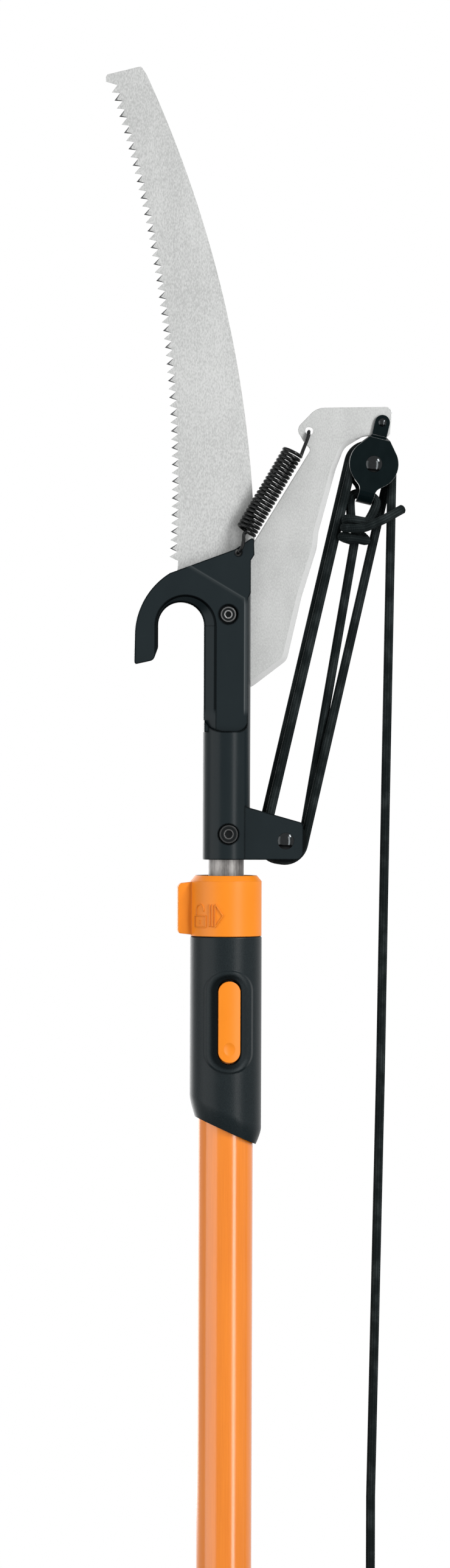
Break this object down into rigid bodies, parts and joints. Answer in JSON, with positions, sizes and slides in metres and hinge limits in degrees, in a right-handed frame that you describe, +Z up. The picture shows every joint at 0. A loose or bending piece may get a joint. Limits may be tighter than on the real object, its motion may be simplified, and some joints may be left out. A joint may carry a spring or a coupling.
{
  "type": "tree pruner pole",
  "caption": "Telescoping tree pruner pole with a hooked cutting head, a rope and sheave tackle on a sprung lever, a curved pull saw, a twist collar and a push-button lock.",
  "frame": {"origin": "centre of the outer pole's lower end, on the pole's axis", "axes": "+Z up along the pole, +X towards the lever and the tackle, -Y towards the user"},
  "size_m": [0.2125, 0.052, 2.4097],
  "materials": {
    "pole_orange": "smooth gloss, glass-fibre tube",
    "collar_orange": "moulded, slightly glossy",
    "black_plastic": "fine matt moulding",
    "black_casting": "black coated die casting",
    "blade_steel": "brushed along the blade",
    "spring_steel": "dark oiled wire",
    "bright_steel": "bright plated",
    "dark_steel": "blackened",
    "bare_tube": "bare drawn tube",
    "bush_brass": "plain bearing",
    "rope_black": "fine braid"
  },
  "bodies": {
    "outer_pole": {"outer_tube": "pole_orange", "end_plug": "black_plastic", "clamp_collet": "black_plastic", "collar_clip": "bright_steel", "grip_sleeve": "black_plastic", "button_pin": "bright_steel", "button_spring": "bright_steel"},
    "collar": {"lock_collar": "collar_orange"},
    "button": {"lock_button": "collar_orange", "lock_pin": "bright_steel"},
    "head": {"inner_tube": "bare_tube", "guide_bush": "black_plastic", "head_casting": "black_casting", "socket_screw": "dark_steel", "socket_nut": "bright_steel", "saw_blade": "blade_steel", "saw_clamp": "dark_steel", "saw_screws": "bright_steel", "pivot_bolt": "bright_steel", "pivot_washer": "bright_steel", "pivot_nut": "bright_steel", "lower_axle": "dark_steel"},
    "lever": {"lever_blade": "blade_steel", "pivot_bush": "bush_brass"},
    "upper_block": {"block_strap": "dark_steel", "strap_rivet": "dark_steel", "block_axle": "dark_steel", "becket_knot": "rope_black"},
    "lower_rear_wheel": {"lower_sheave_rear": "black_plastic"},
    "lower_front_wheel": {"lower_sheave_front": "black_plastic"},
    "upper_rear_wheel": {"upper_sheave_rear": "black_plastic"},
    "upper_front_wheel": {"upper_sheave_front": "black_plastic"},
    "strands_lower": {"tackle_rope_lower": "rope_black"},
    "strands_upper": {"tackle_rope_upper": "rope_black"},
    "spring_lower": {"return_spring": "spring_steel"},
    "spring_upper": {"spring_top_hook": "spring_steel"},
    "fall": {"pull_rope": "rope_black", "rope_hank": "rope_black", "hank_tie": "rope_black", "end_knot": "rope_black"}
  },
  "joints": [
    {"name": "pole_slide", "type": "slide", "parent": "outer_pole", "child": "head", "axis": [0, 0, 1], "range_m": [0, 1.25]},
    {"name": "collar_turn", "type": "hinge", "parent": "outer_pole", "child": "collar", "pos_m": [0, 0, 1.8181], "axis": [0, 0, 1], "range_deg": [0, 75]},
    {"name": "button_press", "type": "hinge", "parent": "outer_pole", "child": "button", "pos_m": [0, -0.0226, 1.737], "axis": [1, 0, 0], "range_deg": [0, 5], "stiffness_Nm_per_rad": 0.4, "springref_deg": -8.59, "deforming": ["button_spring"]},
    {"name": "lever_pull", "type": "hinge", "parent": "head", "child": "lever", "pos_m": [0, 0, 2.0234], "axis": [0, 1, 0], "range_deg": [0, 80], "stiffness_Nm_per_rad": 0.8, "springref_deg": -68.75},
    {"name": "block_swing", "type": "hinge", "parent": "lever", "child": "upper_block", "pos_m": [0.11, 0, 2.1604], "axis": [0, 1, 0], "range_deg": [-38, 0]},
    {"name": "tackle_swing", "type": "hinge", "parent": "head", "child": "strands_lower", "pos_m": [0.041, 0, 1.8639], "axis": [0, 1, 0], "range_deg": [0, 44]},
    {"name": "tackle_shorten", "type": "slide", "parent": "strands_lower", "child": "strands_upper", "axis": [0.2267, 0, 0.974], "range_m": [-0.17, 0], "deforming": ["tackle_rope_lower", "tackle_rope_upper"]},
    {"name": "fall_hang", "type": "hinge", "parent": "upper_block", "child": "fall", "pos_m": [0.103, 0, 2.1303], "axis": [0, 1, 0], "range_deg": [-44, 0]},
    {"name": "spring_swing", "type": "hinge", "parent": "head", "child": "spring_lower", "pos_m": [0.007, 0, 2.067], "axis": [0, 1, 0], "range_deg": [0, 91]},
    {"name": "spring_stretch", "type": "slide", "parent": "spring_lower", "child": "spring_upper", "axis": [0.5057, 0, 0.8627], "range_m": [0, 0.053], "deforming": ["return_spring", "spring_top_hook"]},
    {"name": "lower_rear_spin", "type": "hinge", "parent": "head", "child": "lower_rear_wheel", "pos_m": [0.041, 0, 1.8639], "axis": [0, 1, 0], "continuous": true},
    {"name": "upper_rear_spin", "type": "hinge", "parent": "upper_block", "child": "upper_rear_wheel", "pos_m": [0.103, 0, 2.1303], "axis": [0, 1, 0], "continuous": true},
    {"name": "lower_front_spin", "type": "hinge", "parent": "head", "child": "lower_front_wheel", "pos_m": [0.041, 0, 1.8639], "axis": [0, 1, 0], "continuous": true},
    {"name": "upper_front_spin", "type": "hinge", "parent": "upper_block", "child": "upper_front_wheel", "pos_m": [0.103, 0, 2.1303], "axis": [0, 1, 0], "continuous": true}
  ],
  "couplings": [
    {"joint": "block_swing", "follows": "lever_pull", "ratio": -0.45819},
    {"joint": "tackle_swing", "follows": "lever_pull", "ratio": 0.54181},
    {"joint": "tackle_shorten", "follows": "lever_pull", "m_per_rad": -0.1209},
    {"joint": "fall_hang", "follows": "lever_pull", "ratio": -0.54181},
    {"joint": "spring_swing", "follows": "lever_pull", "ratio": 1.1284},
    {"joint": "spring_stretch", "follows": "lever_pull", "m_per_rad": 0.037406},
    {"joint": "lower_rear_spin", "follows": "lever_pull", "ratio": 9.3024},
    {"joint": "upper_rear_spin", "follows": "lever_pull", "ratio": 17.521},
    {"joint": "lower_front_spin", "follows": "lever_pull", "ratio": 26.824},
    {"joint": "upper_front_spin", "follows": "lever_pull", "ratio": 35.042}
  ]
}
